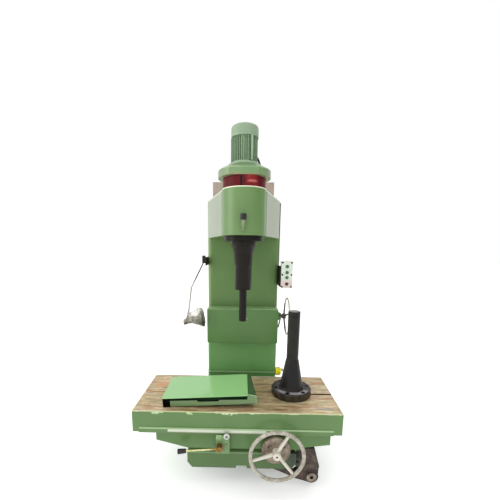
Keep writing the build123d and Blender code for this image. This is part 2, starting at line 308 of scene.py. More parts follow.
# darker green for the side boss than for the column: painted shade
green_boss = paint("paint_green_boss", (50, 85, 36), rough=0.5)
green_sheet = paint("paint_green_sheet", (142, 194, 126), rough=0.13, spread=0.02, grime=0.03, bump=0.01, coat=0.25)
# darker copy of the cover sheet's paint for its shaded faces: painted shade
green_sheet_shaded = paint("paint_green_sheet_shade", (47, 82, 34), rough=0.6, spread=0.08, grime=0.1)
green_motor = paint("paint_green_motor", (127, 152, 121), rough=0.5, spread=0.05)
green_strip = paint("paint_green_strip", (142, 168, 134), rough=0.45, spread=0.05)
green_bell = paint("paint_green_bell", (150, 173, 143), rough=0.45, spread=0.05)
green_cowl = paint("paint_green_cowl", (134, 156, 127), rough=0.40, spread=0.04)
red_gloss = banded("paint_red", (92, 20, 28), rough=0.42, spread=0.10, grime=0.0, coat=0.0, extra=drum_extra, spec=0.12)
black_iron = plain("iron_black", (29, 23, 25), rough=0.38, spread=0.2, scale=25, bump=0.10, spec=0.25)
black_oil = plain("iron_black_oiled", (22, 18, 12), rough=0.34, spread=0.2, scale=25, bump=0.08, spec=0.18)
dark_iron = plain("iron_dark", (70, 58, 51), rough=0.55, spread=0.34, scale=46, bump=0.6, coat=0.1, spec=0.35)
bracket_m = plain("bracket_black", (30, 28, 26), rough=0.5, spread=0.3, scale=60, bump=0.4, spec=0.25)


def arm_look(name, z0, z1, low, high):
    m = Mat(name, 0.45, 0.0, 0.0, 0.3)
    x, y, z = m.xyz()
    n = m.noise(30, 4, 0.6)
    a = m.ramp(n, [(0.3, lin(*[v * 0.85 for v in low])), (0.7, lin(*low))])
    b = m.ramp(n, [(0.3, lin(*[v * 0.85 for v in high])), (0.7, lin(*high))])
    m.color(m.mix(m.mask(z, z0, z1), a, b))
    return m.m


arm_m = arm_look("lamp_arm_grey", 1.165, 1.215, (186, 182, 172), (72, 66, 62))
arm2_m = arm_look("lamp_arm_pale", 0.960, 1.000, (128, 118, 108), (172, 162, 152))
bright = plain("steel_bright", (178, 180, 172), rough=0.3, metallic=0.6, spread=0.08, scale=60)
stem_m = plain("stem_pale", (112, 126, 94), rough=0.35, metallic=0.2, spread=0.18, scale=70)
bright_rail = banded("steel_rail", (196, 205, 183), rough=0.4, spread=0.06, grime=0.1, extra=rail_extra)
black_plastic = plain("plastic_black", (39, 36, 38), rough=0.35, spread=0.15, spec=0.3)
yellow = plain("plastic_yellow", (255, 240, 46), rough=0.4, spread=0.12, scale=60)
# the yellow plastic glows a little: painted light to lift it out of the shade on that side
for n in yellow.node_tree.nodes:
    if n.bl_idname == "ShaderNodeBsdfPrincipled":
        n.inputs["Emission Color"].default_value = lin(255, 226, 40)
        n.inputs["Emission Strength"].default_value = 0.14
rubber = plain("rubber_black", (30, 29, 29), rough=0.6, spec=0.2)
green_button = plain("button_green", (56, 98, 80), rough=0.3)
red_button = plain("button_red", (62, 24, 30), rough=0.3)
dark_gap = plain("shadow_black", (14, 15, 13), rough=0.8, spec=0.1)
# near-black green for the inside of the sheet cover: painted shade
cover_shade_m = plain("cover_inside_shade", (26, 46, 28), rough=0.8, spec=0.1)
slot_brown = plain("slot_dirt", (128, 106, 76), rough=0.8, spread=0.25, scale=50)


def d0(m, x, y, cx, cy):
    dx = m.math("ADD", x, -cx)
    dy = m.math("ADD", y, -cy)
    return m.math("SQRT", m.math("ADD", m.math("MULTIPLY", dx, dx), m.math("MULTIPLY", dy, dy)))


def cream_metal(name="metal_cream", hub=None):
    m = Mat(name, 0.42, 0.12, 0.15)
    c = m.ramp(m.noise(16, 5, 0.6), [(0.3, lin(168, 162, 144)), (0.55, lin(198, 194, 180)), (0.75, lin(224, 221, 210))])
    g = m.mask(m.noise(42, 6, 0.7), 0.55, 0.68)
    c = m.mix(m.math("MULTIPLY", g, 0.6), c, lin(112, 104, 82))
    if not hub:
        x, y, z = m.xyz()
        d = d0(m, x, z, 0.201, 0.282)
        # darker outer edge of the rim: chipped paint with painted shade
        rim = m.mask(d, 0.134, 0.139)
        chip = m.mask(m.noise(58, 5, 0.7), 0.46, 0.58)
        k = m.math("MULTIPLY", rim, m.math("ADD", 0.24, m.math("MULTIPLY", chip, 0.46)))
        c = m.mix(m.math("MULTIPLY", m.math("SUBTRACT", 1.0, rim), 0.45), c, lin(228, 224, 212))
        c = m.mix(k, c, lin(122, 110, 98))
    if hub:
        x, y, z = m.xyz()
        dy = m.math("ADD", y, -hub[0])
        dz = m.math("ADD", z, -hub[1])
        d = m.math("SQRT", m.math("ADD", m.math("MULTIPLY", dy, dy), m.math("MULTIPLY", dz, dz)))
        # spokes and hub inside the rim painted dark: painted shade
        c = m.mix(m.mask(d, 0.122, 0.128), lin(70, 64, 56), c)
    m.color(c)
    m.bump(m.noise(150, 4, 0.6), 0.2, 0.0008)
    return m.m


def rusty():
    m = Mat("plate_rusty", 0.62, 0.25)
    c = m.ramp(m.noise(26, 6, 0.7), [(0.32, lin(84, 68, 58)), (0.5, lin(140, 126, 110)), (0.66, lin(182, 170, 152))])
    r = m.mask(m.noise(34, 4, 0.6), 0.60, 0.66)
    c = m.mix(m.math("MULTIPLY", r, 0.7), c, lin(110, 54, 44))
    m.color(c)
    m.bump(m.noise(120, 5, 0.65), 0.4, 0.001)
    return m.m


def casing():
    m = Mat("casing_rusty", 0.6, 0.0, 0.05, 0.35)
    c = m.ramp(m.noise(24, 6, 0.7), [(0.32, lin(33, 28, 24)), (0.46, lin(60, 49, 43)), (0.58, lin(84, 71, 61)), (0.72, lin(116, 98, 83))])
    r = m.mask(m.noise(40, 5, 0.7), 0.57, 0.66)
    c = m.mix(m.math("MULTIPLY", r, 0.45), c, lin(112, 68, 48))
    m.color(c)
    m.bump(m.noise(150, 5, 0.65), 0.6, 0.001)
    return m.m


def greased():
    m = Mat("ways_greased", 0.38, 0.2, 0.3)
    c = m.ramp(m.noise(9, 4, 0.6, m.scaled((3, 3, 0.7))), [(0.3, lin(160, 136, 124)), (0.55, lin(172, 156, 144)), (0.75, lin(178, 168, 162))])
    m.color(c)
    m.bump(m.noise(60, 4, 0.6, m.scaled((2, 2, 0.4))), 0.3, 0.001)
    return m.m


def brass():
    m = Mat("rod_brass", 0.34, 0.75)
    x, y, z = m.xyz()
    hub = m.mask(x, -0.190, -0.140)
    c = m.mix(hub, m.ramp(m.noise(40, 4, 0.6), [(0.35, lin(196, 186, 112)), (0.7, lin(236, 236, 190))]), m.ramp(m.noise(70, 5, 0.7), [(0.35, lin(84, 60, 30)), (0.65, lin(172, 126, 60))]))
    m.color(c)
    return m.m


def film():
    m = Mat("lamp_film", 0.34, 0.2, 0.4)
    c = m.ramp(m.noise(34, 6, 0.75), [(0.34, lin(64, 60, 48)), (0.47, lin(116, 112, 96)), (0.58, lin(176, 172, 156)), (0.72, lin(236, 234, 224))])
    x, y, z = m.xyz()
    # painted shade on the lower side
    up = m.math("ADD", z, m.math("MULTIPLY", x, -0.2))
    low = m.math("SUBTRACT", 1.0, m.mask(up, 0.950, 0.995))
    c = m.mix(m.math("MULTIPLY", low, 0.82), c, lin(78, 73, 58))
    # painted highlight along the top of the wrap
    hi = m.math("MULTIPLY", m.mask(up, 1.004, 1.030), m.mask(m.noise(24, 5, 0.7), 0.34, 0.50))
    c = m.mix(m.math("MULTIPLY", hi, 0.85), c, lin(244, 243, 236))
    # painted shade at the lower right
    olive = m.math("MULTIPLY", low, m.mask(x, -0.37, -0.33))
    c = m.mix(m.math("MULTIPLY", olive, 0.75), c, lin(66, 62, 42))
    # painted shade under the neck
    neck = m.math("MULTIPLY", m.math("SUBTRACT", 1.0, m.mask(x, -0.402, -0.385)), m.math("SUBTRACT", 1.0, m.mask(z, 0.874, 0.888)))
    c = m.mix(m.math("MULTIPLY", neck, 0.8), c, lin(58, 62, 42))
    m.color(c)
    m.bump(m.noise(70, 6, 0.7), 0.8, 0.003)
    return m.m


def table_top():
    m = Mat("table_top", 0.5, 0.05, 0.15)
    x, y, z = m.xyz()
    # brushed-on preservative in long streaks along the table
    streak = m.noise(1.0, 6, 0.68, m.scaled((5.2, 44, 1)), 1.0)
    patch = m.noise(1.0, 5, 0.62, m.shifted((4.2, 19, 1), (3.1, 1.7, 0)), 1.4)
    fine = m.noise(1.0, 5, 0.65, m.scaled((14, 130, 1)))
    base = m.ramp(streak, [(0.32, lin(82, 58, 32)), (0.40, lin(150, 112, 66)), (0.47, lin(206, 172, 122)), (0.53, lin(226, 214, 172)), (0.60, lin(186, 176, 120)), (0.67, lin(128, 118, 70)), (0.75, lin(92, 70, 40))])
    tint = m.ramp(patch, [(0.33, lin(86, 50, 28)), (0.40, lin(190, 126, 82)), (0.46, lin(218, 186, 148)), (0.51, lin(222, 212, 178)), (0.56, lin(196, 154, 92)), (0.62, lin(140, 148, 88)), (0.68, lin(204, 196, 160)), (0.76, lin(96, 78, 44))])
    c = m.mix(0.5, base, tint)
    c = m.mix(m.math("MULTIPLY", m.mask(fine, 0.52, 0.66), 0.4), c, lin(100, 78, 52))
    pale = m.mask(m.noise(1.0, 4, 0.6, m.shifted((6.0, 60, 1), (5.5, 2.1, 0)), 0.6), 0.57, 0.66)
    c = m.mix(m.math("MULTIPLY", pale, 0.75), c, lin(232, 226, 196))
    moss = m.mask(m.noise(1.0, 4, 0.6, m.shifted((5.0, 52, 1), (1.5, 7.7, 0)), 0.6), 0.58, 0.66)
    c = m.mix(m.math("MULTIPLY", moss, 0.55), c, lin(150, 170, 104))
    warm = m.mask(m.noise(1.0, 4, 0.6, m.shifted((4.4, 48, 1), (8.2, 3.3, 0)), 0.6), 0.58, 0.66)
    c = m.mix(m.math("MULTIPLY", warm, 0.55), c, lin(186, 118, 84))
    # darker wiped area in the middle, and painted shade under what stands on it
    dark = m.mask(m.noise(1.0, 5, 0.65, m.shifted((3.0, 34, 1), (9.3, 4.2, 0)), 0.7), 0.52, 0.62)
    mid = m.math("MULTIPLY", m.mask(x, 0.02, 0.14), m.math("SUBTRACT", 1.0, m.mask(x, 0.30, 0.46)))
    mid = m.math("MAXIMUM", mid, 0.22)
    c = m.mix(m.math("MULTIPLY", m.math("MULTIPLY", dark, mid), 0.9), c, lin(74, 58, 38))
    c = m.mix(m.math("MULTIPLY", mid, 0.35), c, lin(88, 76, 48))
    ol = m.mask(m.noise(1.0, 5, 0.7, m.shifted((8.0, 60, 1), (2.2, 5.1, 0)), 0.5), 0.53, 0.60)
    c = m.mix(m.math("MULTIPLY", ol, 0.5), c, lin(112, 92, 56))
    br = m.mask(m.noise(1.0, 5, 0.7, m.shifted((6.5, 38, 1), (7.4, 0.6, 0)), 0.6), 0.57, 0.63)
    c = m.mix(m.math("MULTIPLY", br, 0.6), c, lin(158, 96, 52))
    gy = m.mask(m.noise(1.0, 5, 0.7, m.shifted((5.5, 46, 1), (4.4, 9.6, 0)), 0.6), 0.58, 0.64)
    c = m.mix(m.math("MULTIPLY", gy, 0.5), c, lin(132, 122, 100))
    # one deep brown patch and one grey-blue wipe near the front edge
    for cx, cy, rx, ry, col, k in ((0.215, -0.300, 0.060, 0.010, (104, 66, 42), 0.85), (0.485, -0.285, 0.060, 0.009, (140, 158, 160), 0.8), (0.33, -0.292, 0.050, 0.007, (150, 118, 110), 0.6),
                                (-0.540, 0.000, 0.052, 0.045, (204, 138, 88), 0.7), (-0.500, -0.045, 0.030, 0.006, (104, 72, 44), 0.8), (-0.590, -0.110, 0.035, 0.016, (124, 106, 84), 0.7),
                                (-0.560, -0.200, 0.040, 0.012, (134, 96, 58), 0.6), (0.520, 0.060, 0.040, 0.020, (176, 120, 74), 0.6), (-0.120, -0.318, 0.050, 0.006, (132, 84, 52), 0.7)):
        u = m.math("DIVIDE", m.math("ADD", x, -cx), rx)
        v = m.math("DIVIDE", m.math("ADD", y, -cy), ry)
        d = m.math("SQRT", m.math("ADD", m.math("MULTIPLY", u, u), m.math("MULTIPLY", v, v)))
        d = m.math("ADD", d, m.math("MULTIPLY", m.math("SUBTRACT", m.noise(1.0, 4, 0.6, m.scaled((18, 70, 1))), 0.5), 1.6))
        c = m.mix(m.math("MULTIPLY", m.math("SUBTRACT", 1.0, m.mask(d, 0.65, 1.1)), k), c, lin(*col))
    # pale worn rims along the front and right edges; a painted shadow line and a painted highlight along the back edge
    wob = m.math("MULTIPLY", m.noise(14, 3, 0.6), 0.006)
    edge = m.mask(m.math("ADD", m.math("MULTIPLY", y, -1.0), wob), 0.3325, 0.3375)
    c = m.mix(m.math("MULTIPLY", edge, 0.85), c, m.ramp(m.noise(6, 3, 0.5), [(0.4, lin(226, 214, 180)), (0.6, lin(196, 214, 150))]))
    # painted shadow line and painted highlight along the back edge
    back = m.mask(y, 0.140, 0.148)
    c = m.mix(m.math("MULTIPLY", back, 0.55), c, lin(96, 84, 66))
    rim = m.mask(y, 0.150, 0.154)
    c = m.mix(m.math("MULTIPLY", rim, 0.8), c, lin(206, 208, 192))
    side = m.mask(x, 0.562, 0.572)
    c = m.mix(m.math("MULTIPLY", side, 0.45), c, lin(150, 142, 104))
    m.color(c)
    m.rough(m.math("ADD", m.math("MULTIPLY", m.noise(20, 3, 0.6), 0.5), 0.22))
    m.bump(fine, 0.25, 0.0008)
    return m.m


def table_side():
    m = Mat("table_side", 0.42, 0.0, 0.2)
    x, y, z = m.xyz()
    n = m.noise(3.0, 4, 0.55)
    c = m.ramp(n, [(0.3, lin(80, 115, 58)), (0.7, lin(89, 126, 65))])
    g = m.mask(m.noise(9, 6, 0.7), 0.58, 0.78)
    c = m.mix(m.math("MULTIPLY", g, 0.14), c, lin(78, 92, 62))
    # painted highlight along the top of the front ledge
    led = m.math("SUBTRACT", m.mask(z, 0.4045, 0.4065), m.mask(z, 0.4100, 0.4110))
    led = m.math("MULTIPLY", led, m.mask(m.math("MULTIPLY", y, -1.0), 0.3400, 0.3405))
    c = m.mix(m.math("MULTIPLY", led, 0.9), c, lin(178, 206, 156))
    low = m.math("MULTIPLY", m.math("SUBTRACT", 1.0, m.mask(z, 0.4035, 0.4050)), m.mask(m.math("MULTIPLY", y, -1.0), 0.3400, 0.3405))
    c = m.mix(m.math("MULTIPLY", low, 0.25), c, lin(88, 118, 72))
    # chipped upper edge
    wob = m.math("MULTIPLY", m.noise(8, 6, 0.75), 0.036)
    top = m.mask(m.math("ADD", z, wob), 0.5245, 0.5265)
    c = m.mix(top, c, lin(204, 206, 170))
    thin = m.mask(z, 0.5060, 0.5075)
    c = m.mix(m.math("MULTIPLY", thin, 0.7), c, lin(214, 212, 166))
    # brush marks that hang from the upper edge
    for cx, cz, rx, rz in ((-0.492, 0.502, 0.026, 0.010), (-0.462, 0.506, 0.030, 0.006), (-0.300, 0.502, 0.014, 0.010), (-0.285, 0.496, 0.010, 0.006), (-0.090, 0.503, 0.024, 0.009), (-0.055, 0.500, 0.010, 0.009), (0.060, 0.506, 0.020, 0.005)):
        u = m.math("DIVIDE", m.math("ADD", x, -cx), rx)
        v = m.math("DIVIDE", m.math("ADD", z, -cz), rz)
        d = m.math("SQRT", m.math("ADD", m.math("MULTIPLY", u, u), m.math("MULTIPLY", v, v)))
        d = m.math("ADD", d, m.math("MULTIPLY", m.math("SUBTRACT", m.noise(70, 5, 0.7), 0.5), 3.2))
        k = m.math("MULTIPLY", m.math("SUBTRACT", 1.0, m.mask(d, 0.55, 1.0)), m.mask(m.math("MULTIPLY", y, -1.0), 0.335, 0.338))
        c = m.mix(m.math("MULTIPLY", k, 0.75), c, lin(196, 216, 166))
    m.color(c)
    m.bump(m.noise(260, 2, 0.5), 0.08, 0.0006)
    return m.m


cream = cream_metal()
cream_side = cream_metal("metal_cream_side", (0.312, 0.927))
rust = rusty()
grease = greased()
brass_m = brass()
film_m = film()
top_m = table_top()


def slot():
    m = Mat("slot_inside", 0.8)
    x, y, z = m.xyz()
    c = m.ramp(m.noise(50, 4, 0.6), [(0.35, lin(206, 176, 132)), (0.65, lin(240, 212, 170))])
    # painted shade: the right end of the slot painted black
    c = m.mix(m.mask(x, 0.415, 0.425), c, lin(18, 17, 14))
    m.color(c)
    return m.m


slot_m = slot()
side_m = table_side()


def spare_iron():
    m = Mat("iron_spare", 0.36, 0.0, 0.0, 0.25)
    x, y, z = m.xyz()
    c = m.ramp(m.noise(22, 4, 0.6), [(0.3, lin(21, 19, 15)), (0.7, lin(31, 29, 22))])
    low = m.math("SUBTRACT", 1.0, m.mask(z, 0.66, 0.80))
    c = m.mix(m.math("MULTIPLY", low, 0.6), c, lin(20, 18, 23))
    c = m.mix(m.mask(z, 1.0480, 1.0488), c, lin(104, 104, 98))
    fl = m.math("SUBTRACT", 1.0, m.mask(z, 0.566, 0.570))
    c = m.mix(m.math("MULTIPLY", fl, 0.45), c, lin(46, 40, 29))
    line = m.math("SUBTRACT", m.mask(z, 1.016, 1.018), m.mask(z, 1.026, 1.028))
    c = m.mix(m.math("MULTIPLY", line, 0.8), c, lin(12, 12, 12))
    edge = m.math("MULTIPLY", m.mask(d0(m, x, y, 0.316, -0.093), 0.119, 0.121), m.math("SUBTRACT", 1.0, m.mask(z, 0.560, 0.570)))
    c = m.mix(m.math("MULTIPLY", edge, 0.55), c, m.ramp(m.noise(30, 4, 0.6), [(0.4, lin(40, 36, 28)), (0.62, lin(84, 72, 52))]))
    # painted reflection: a bright ring on the front of the flange top
    dx = m.math("ADD", x, -0.316)
    dy = m.math("ADD", y, 0.093)
    d = m.math("SQRT", m.math("ADD", m.math("MULTIPLY", dx, dx), m.math("MULTIPLY", dy, dy)))
    d = m.math("ADD", d, m.math("MULTIPLY", m.math("SUBTRACT", m.noise(30, 4, 0.6), 0.5), 0.010))
    ring = m.math("MULTIPLY", m.mask(d, 0.080, 0.085), m.math("SUBTRACT", 1.0, m.mask(d, 0.108, 0.116)))
    top = m.math("MULTIPLY", m.mask(z, 0.5535, 0.5545), m.math("SUBTRACT", 1.0, m.mask(z, 0.5565, 0.5575)))
    front = m.mask(m.math("MULTIPLY", y, -1.0), 0.128, 0.155)
    k = m.math("MULTIPLY", m.math("MULTIPLY", ring, top), front)
    c = m.mix(m.math("MULTIPLY", k, 0.85), c, lin(150, 146, 150))
    # bolt holes painted black: painted shade in place of the hollows
    for i in range(6):
        a = math.radians(8 + 60 * i)
        hx, hy = 0.316 + 0.099 * math.cos(a), -0.093 + 0.099 * math.sin(a)
        k = m.math("MULTIPLY", m.math("SUBTRACT", 1.0, m.mask(d0(m, x, y, hx, hy), 0.0135, 0.0155)), m.math("SUBTRACT", 1.0, m.mask(z, 0.560, 0.570)))
        c = m.mix(m.math("MULTIPLY", k, m.mask(z, 0.552, 0.5535)), c, lin(8, 8, 8))
    m.color(c)
    m.bump(m.noise(180, 4, 0.6), 0.10, 0.0008)
    return m.m


LOOK = {
    "base_plinth": green_dark, "apron": apron_m, "bed": bed_m, "trip_block": block_m, "trip_roller": bright,
    "dial_plate": rust, "drive_guard": casing(), "column_foot": foot_m, "column": column_m, "feed_gearbox": gear_m,
    "way_posts": grease, "side_boss": green_boss, "side_plug": yellow, "station_bracket": bracket_m,
    "station_box": banded("station_shell", (216, 224, 210), rough=0.4, spread=0.03, coat=0.0, grime=0.05, extra=station_extra), "lamp_bracket": bracket_m,
    "dog_rail": bright_rail, "spare_bar": spare_iron(), "cover_plate": green_sheet, "cover_channel": chan_m,
    "cover_end": dark_gap, "head_housing": head_m, "head_side_panels": panel_m, "belt_drum": red_gloss,
    "head_hood": hood_m, "motor_flange": green_bell, "motor_body": green_motor, "fan_cowl": green_cowl,
    "motor_cable": rubber, "spindle_sleeve": black_oil, "boring_bar": black_oil, "shift_lever": stem_m,
    "shift_knob": black_plastic, "front_handwheel": cream, "side_handwheel": cream_side, "clamp_lever": brass_m,
    "lever_grip": black_plastic, "lamp_arm_lower": arm_m, "lamp_arm_upper": arm2_m, "lamp_shade": film_m,
    "button_1": green_button, "button_2": green_button, "button_3": green_button, "button_4": red_button,
}


def dress(name, mats):
    me = nodes[name].data
    me.materials.clear()
    for m in mats:
        me.materials.append(m)
    for p in me.polygons:
        p.material_index = 0


for name, m in LOOK.items():
    dress(name, [m])
dress("table", [side_m, top_m, slot_m])
dress("cover_plate", [green_sheet, green_sheet_shaded])
# side faces and underside of the cover plate take the darker copy of its paint: painted shade
for p in nodes["cover_plate"].data.polygons:
    if p.normal.x > 0.03 or p.normal.z < -0.5:
        p.material_index = 1
dress("cover_channel", [chan_m, cover_shade_m])
# inner faces and undersides of the channel painted dark: painted shade
for p in nodes["cover_channel"].data.polygons:
    if p.center.y > -0.2945 or p.normal.z < -0.5:
        p.material_index = 1
me = nodes["table"].data
for p in me.polygons:
    c = p.center
    if p.normal.z > 0.5 and c.z > 0.5075:
        p.material_index = 1
    elif c.z > 0.477 and c.z < 0.5095 and abs(c.y + 0.103) < 0.0145 and abs(p.normal.x) < 0.5:
        p.material_index = 2


def soften(name, width=0.0015, angle=35):
    """Small rounded edges on a CAD node, for the light to catch."""
    o = nodes[name]
    if "custom_normal" in o.data.attributes:
        o.data.attributes.remove(o.data.attributes["custom_normal"])
    for p in o.data.polygons:
        p.use_smooth = True
    w = o.modifiers.new("weld", "WELD")
    w.merge_threshold = 0.00002
    b = o.modifiers.new("bevel", "BEVEL")
    b.width = width
    b.segments = 2
    b.limit_method = "ANGLE"
    b.angle_limit = math.radians(angle)
    b.harden_normals = True
    b.use_clamp_overlap = True


for name, wdt in (("table", 0.002), ("column", 0.003), ("column_foot", 0.003), ("feed_gearbox", 0.004), ("apron", 0.004),
                  ("bed", 0.003), ("trip_block", 0.002), ("head_housing", 0.003), ("head_hood", 0.003), ("drive_guard", 0.003),
                  ("base_plinth", 0.003), ("way_posts", 0.002), ("station_box", 0.002), ("spindle_sleeve", 0.0015)):
    soften(name, wdt)


# ---------------------------------------------------------------- mesh helpers
def mesh_object(name, bm, mats, body, smooth=30, replaces=()):
    me = bpy.data.meshes.new(name)
    bm.normal_update()
    bm.to_mesh(me)
    bm.free()
    for m in mats:
        me.materials.append(m)
    for p in me.polygons:
        p.use_smooth = True
    me.set_sharp_from_angle(angle=math.radians(smooth))
    o = bpy.data.objects.new(name, me)
    bpy.context.scene.collection.objects.link(o)
    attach(o, body)
    if replaces:
        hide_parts(*replaces)
    return o


def turn(bm, profile, seg=96, mat=0, mx=None, closed=True):
    """Surface of revolution about Z; profile is [(r, z)] from one end to the other."""
    rings = []
    for r, z in profile:
        if r < 1e-6:
            rings.append([bm.verts.new((0, 0, z))])
        else:
            rings.append([bm.verts.new((r * math.cos(2 * math.pi * i / seg), r * math.sin(2 * math.pi * i / seg), z)) for i in range(seg)])
    made = [v for ring in rings for v in ring]
    for a, b in zip(rings, rings[1:]):
        for i in range(seg):
            j = (i + 1) % seg
            if len(a) == 1 and len(b) == 1:
                continue
            if len(a) == 1:
                f = bm.faces.new((a[0], b[j], b[i]))
            elif len(b) == 1:
                f = bm.faces.new((a[i], a[j], b[0]))
            else:
                f = bm.faces.new((a[i], a[j], b[j], b[i]))
            f.material_index = mat
    if mx is not None:
        bmesh.ops.transform(bm, matrix=mx, verts=made)
    return made


def box(bm, lo, hi, mat=0, bevel=0.0, mx=None):
    c = [(a + b) / 2 for a, b in zip(lo, hi)]
    s = [b - a for a, b in zip(lo, hi)]
    r = bmesh.ops.create_cube(bm, size=1.0, matrix=Matrix.Translation(c) @ Matrix.Diagonal((*s, 1)))
    vs = r["verts"]
    fs = {f for v in vs for f in v.link_faces}
    for f in fs:
        f.material_index = mat
    if bevel:
        es = {e for v in vs for e in v.link_edges}
        r2 = bmesh.ops.bevel(bm, geom=list(es), offset=bevel, segments=2, affect="EDGES", profile=0.5)
        for f in r2["faces"]:
            f.material_index = mat
        vs = list({v for f in r2["faces"] for v in f.verts} | {v for v in vs if v.is_valid})
    if mx is not None:
        bmesh.ops.transform(bm, matrix=mx, verts=[v for v in vs if v.is_valid])
    return vs


def tube(bm, pts, r, seg=12, mat=0):
    """Round tube along a list of points."""
    pts = [Vector(p) for p in pts]
    rings = []
    up = Vector((0.13, 0.27, 0.95)).normalized()
    for i, p in enumerate(pts):
        d = (pts[min(i + 1, len(pts) - 1)] - pts[max(i - 1, 0)]).normalized()
        a = d.cross(up).normalized()
        b = d.cross(a).normalized()
        rr = r[i] if isinstance(r, (list, tuple)) else r
        rings.append([bm.verts.new(p + a * rr * math.cos(2 * math.pi * k / seg) + b * rr * math.sin(2 * math.pi * k / seg)) for k in range(seg)])
    for a, b in zip(rings, rings[1:]):
        for k in range(seg):
            f = bm.faces.new((a[k], a[(k + 1) % seg], b[(k + 1) % seg], b[k]))
            f.material_index = mat
    bm.faces.new(rings[0][::-1]).material_index = mat
    bm.faces.new(rings[-1]).material_index = mat


def at(x, y, z):
    return Matrix.Translation((x, y, z))


AX_Y = Matrix.Rotation(math.radians(90), 4, "X")       # turns +Z to -Y
AX_X = Matrix.Rotation(math.radians(90), 4, "Y")       # turns +Z to +X


def hexbolt(bm, mx, r=0.008, h=0.006, mat=0):
    made = turn(bm, [(0, h), (r * 0.86, h), (r, h - 0.0012), (r, 0), (0, 0)], seg=6, mat=mat, mx=mx)
    turn(bm, [(0, 0.0012), (r * 1.35, 0.0012), (r * 1.45, 0.0), (r * 1.45, -0.001)], seg=20, mat=mat, mx=mx)
    return made


def capscrew(bm, mx, r=0.006, h=0.006, mat=0, hole=1):
    turn(bm, [(0, h * 0.45), (r * 0.5, h * 0.45)], seg=6, mat=hole, mx=mx)
    turn(bm, [(r * 0.5, h * 0.45), (r * 0.5, h), (r * 0.9, h), (r, h * 0.9), (r, 0)], seg=20, mat=mat, mx=mx)


# ---------------------------------------------------------------- motor
bm = bmesh.new()
z0, z1 = 1.9155, 2.052
turn(bm, [(0.0, z0), (0.0755, z0), (0.0755, z0 + 0.0025), (0.0655, z0 + 0.0045), (0.0655, z1 - 0.004), (0.070, z1 - 0.003), (0.070, z1), (0, z1)], seg=72)
nf = 40
for i in range(nf):
    a = 2 * math.pi * (i + 0.5) / nf
    mx = Matrix.Rotation(a, 4, "Z")
    box(bm, (0.060, -0.0014, z0 + 0.002), (0.0758 + 0.005 * max(0.0, -math.cos(a)) ** 2, 0.0014, z1 - 0.005), mx=mx)
box(bm, (-0.040, 0.062, 1.960), (0.040, 0.104, 2.038), bevel=0.003)
box(bm, (-0.042, 0.104, 1.958), (0.042, 0.1118, 2.040), bevel=0.002)
for sx in (-1, 1):
    for sz in (1.966, 2.032):
        capscrew(bm, at(sx * 0.034, 0.1118, sz) @ AX_Y.inverted(), 0.003, 0.002, 1, 2)
# tie strip and lifting lugs on the frame
box(bm, (0.0355, -0.0735, 1.9180), (0.0465, -0.0610, 2.050), mat=3, bevel=0.001)
box(bm, (-0.0190, -0.0768, 1.9180), (-0.0152, -0.0640, 2.048), mat=3, bevel=0.0008)
box(bm, (-0.0075, -0.0776, 1.9180), (-0.0030, -0.0640, 2.048), mat=3, bevel=0.0008)
box(bm, (-0.0143, -0.0764, 1.9180), (-0.0083, -0.0640, 2.048), mat=4, bevel=0.0006)
box(bm, (0.0200, -0.0762, 1.9180), (0.0224, -0.0640, 2.048), mat=3, bevel=0.0006)
box(bm, (0.0285, -0.0738, 1.9180), (0.0345, -0.0640, 1.9235), mat=4, bevel=0.001)
turn(bm, [(0, 0.012), (0.008, 0.012), (0.009, 0.010), (0.009, 0.0), (0.011, 0.0), (0.011, -0.006)], seg=24, mat=2, mx=at(0.042, 0.092, 1.985) @ AX_X)
mesh_object("motor_finned", bm, [green_motor, bright, rubber, green_strip, green_dark], "head", replaces=("motor_body",))

bm = bmesh.new()
prof = [(0.0, 2.0540), (0.0755, 2.0540), (0.0755, 2.0500), (0.0795, 2.0500), (0.0800, 2.0520), (0.0800, 2.0640), (0.0796, 2.0646), (0.0800, 2.0652), (0.0800, 2.0790), (0.0796, 2.0796), (0.0800, 2.0802), (0.0800, 2.0930), (0.0797, 2.0936), (0.0799, 2.0942), (0.0800, 2.0960), (0.0785, 2.1040), (0.0740, 2.1105), (0.0660, 2.1150), (0.0500, 2.1180), (0.0480, 2.1165), (0.0, 2.1175)]
turn(bm, prof, seg=96)
for k, r in enumerate((0.010, 0.019, 0.028, 0.037, 0.046)):
    turn(bm, [(r, 2.1185), (r + 0.0032, 2.1205), (r + 0.0055, 2.1185)], seg=64, mat=0)
for k in range(6):
    mx = Matrix.Rotation(2 * math.pi * k / 6, 4, "Z")
    box(bm, (0.004, -0.0018, 2.1168), (0.050, 0.0018, 2.1200), mx=mx)
turn(bm, [(0.0, 2.1178), (0.049, 2.1178)], seg=64, mat=1)
for a in (-60, 60, 180):
    mx = Matrix.Rotation(math.radians(a - 90), 4, "Z") @ at(0.0798, 0, 2.063) @ AX_X
    turn(bm, [(0, 0.0020), (0.0035, 0.0018), (0.0042, 0)], seg=16, mat=2, mx=mx)
mx = Matrix.Rotation(math.radians(-62), 4, "Z") @ at(0.0798, 0, 2.071) @ AX_X
turn(bm, [(0, 0.0022), (0.0028, 0.0018), (0.0034, 0)], seg=16, mat=2, mx=mx)
mesh_object("fan_cowl_grille", bm, [green_cowl, dark_gap, bright], "head", replaces=("fan_cowl",))

